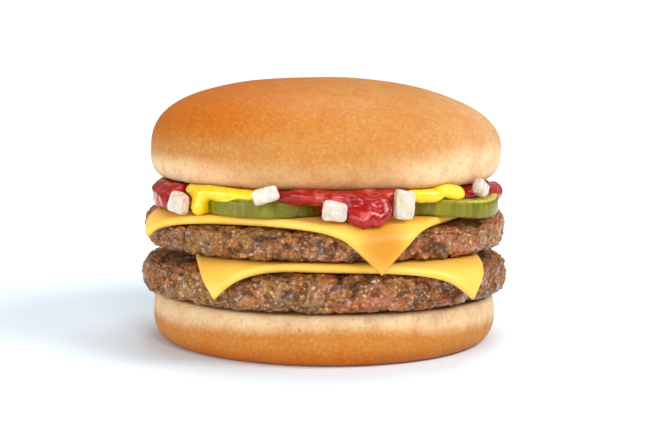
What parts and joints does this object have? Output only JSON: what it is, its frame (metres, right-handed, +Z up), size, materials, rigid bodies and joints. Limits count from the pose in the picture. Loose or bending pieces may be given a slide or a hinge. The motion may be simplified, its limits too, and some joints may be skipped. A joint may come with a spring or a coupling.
{
  "type": "double cheeseburger",
  "caption": "Double cheeseburger: plain round bun, stacked beef patties, square cheese slices with drooping corners, pickle chips, ketchup, mustard and diced onion.",
  "frame": {"origin": "middle of the flat underside of the lower bun half", "axes": "+Z up through the stack; -Y to the front, where the cheese corners hang out; +X to the right"},
  "size_m": [0.1045, 0.1097, 0.0752],
  "materials": {
    "bun": "soft baked crust, golden brown on top and cream at the rim",
    "beef": "coarse grilled ground beef, moist",
    "cheese": "smooth softened slice, satin",
    "pickle": "wet olive green skin and paler flesh",
    "onion": "wet translucent white",
    "ketchup": "glossy deep red sauce",
    "mustard": "glossy bright yellow sauce"
  },
  "bodies": {
    "root": {"bun_crown": "bun", "bun_heel": "bun", "patty_lower": "beef", "patty_upper": "beef", "cheese_lower": "cheese", "cheese_upper": "cheese", "pickle_1": "pickle", "pickle_2": "pickle", "pickle_3": "pickle", "pickle_4": "pickle", "onion_1": "onion", "onion_2": "onion", "onion_3": "onion", "onion_4": "onion", "onion_5": "onion", "onion_6": "onion", "onion_7": "onion", "onion_8": "onion", "onion_9": "onion", "onion_10": "onion", "onion_11": "onion", "ketchup": "ketchup", "mustard": "mustard"}
  },
  "joints": []
}
